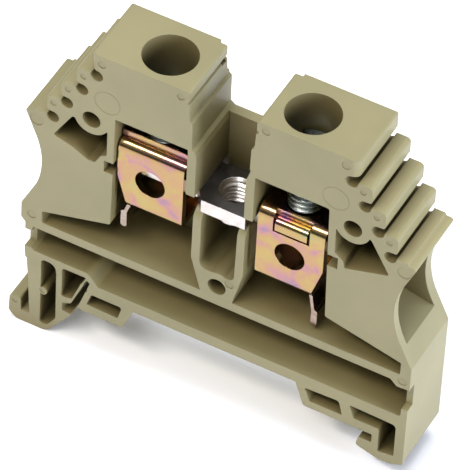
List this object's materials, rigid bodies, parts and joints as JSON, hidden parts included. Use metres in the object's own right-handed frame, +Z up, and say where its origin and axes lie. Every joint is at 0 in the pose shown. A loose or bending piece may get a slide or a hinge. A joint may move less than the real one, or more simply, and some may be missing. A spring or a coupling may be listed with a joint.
{
  "type": "din rail terminal block",
  "caption": "Feed-through screw terminal block for a 35 mm top-hat rail, open on one side, with two clamping yokes on a shared current bar.",
  "frame": {"origin": "middle of the 35 mm rail seat, half way through the block's width", "axes": "+Z up and away from the rail, +X along the block towards the fixed hook's end, +Y towards the closed side"},
  "size_m": [0.0448, 0.008, 0.0417],
  "materials": {
    "polyamide": "beige moulded polyamide, fine matte",
    "tinned_copper": "bright tin plate on copper",
    "yellow_zinc": "yellow chromated zinc plate with a faint rainbow sheen",
    "spring_steel": "nickel plated spring strip",
    "blue_zinc": "blue chromated zinc plate"
  },
  "bodies": {
    "housing": {"housing": "polyamide", "current_bar": "tinned_copper"},
    "rail_foot_latch": {"rail_foot_latch": "polyamide"},
    "left_clamp_screw": {"left_clamp_screw": "blue_zinc"},
    "right_clamp_screw": {"right_clamp_screw": "blue_zinc"},
    "left_yoke": {"left_yoke": "yellow_zinc", "left_wire_guard": "spring_steel"},
    "right_yoke": {"right_yoke": "yellow_zinc", "right_wire_guard": "spring_steel"}
  },
  "joints": [
    {"name": "left_screw_turn", "type": "hinge", "parent": "housing", "child": "left_clamp_screw", "pos_m": [-0.0085, -0.00037, 0.03], "axis": [0, 0, 1], "range_deg": [-1210, 953]},
    {"name": "right_screw_turn", "type": "hinge", "parent": "housing", "child": "right_clamp_screw", "pos_m": [0.007, -0.00037, 0.03], "axis": [0, 0, 1], "range_deg": [-2162, 2]},
    {"name": "left_yoke_slide", "type": "slide", "parent": "housing", "child": "left_yoke", "axis": [0, 0, 1], "range_m": [-0.00185, 0.00235]},
    {"name": "right_yoke_slide", "type": "slide", "parent": "housing", "child": "right_yoke", "axis": [0, 0, 1], "range_m": [0, 0.0042]},
    {"name": "rail_foot_flex", "type": "hinge", "parent": "housing", "child": "rail_foot_latch", "pos_m": [-0.0195, 0, 0.0075], "axis": [0, 1, 0], "range_deg": [0, 10], "stiffness_Nm_per_rad": 0.3}
  ],
  "couplings": [
    {"joint": "left_screw_turn", "follows": "left_yoke_slide", "rad_per_m": -8976},
    {"joint": "right_screw_turn", "follows": "right_yoke_slide", "rad_per_m": -8976}
  ]
}
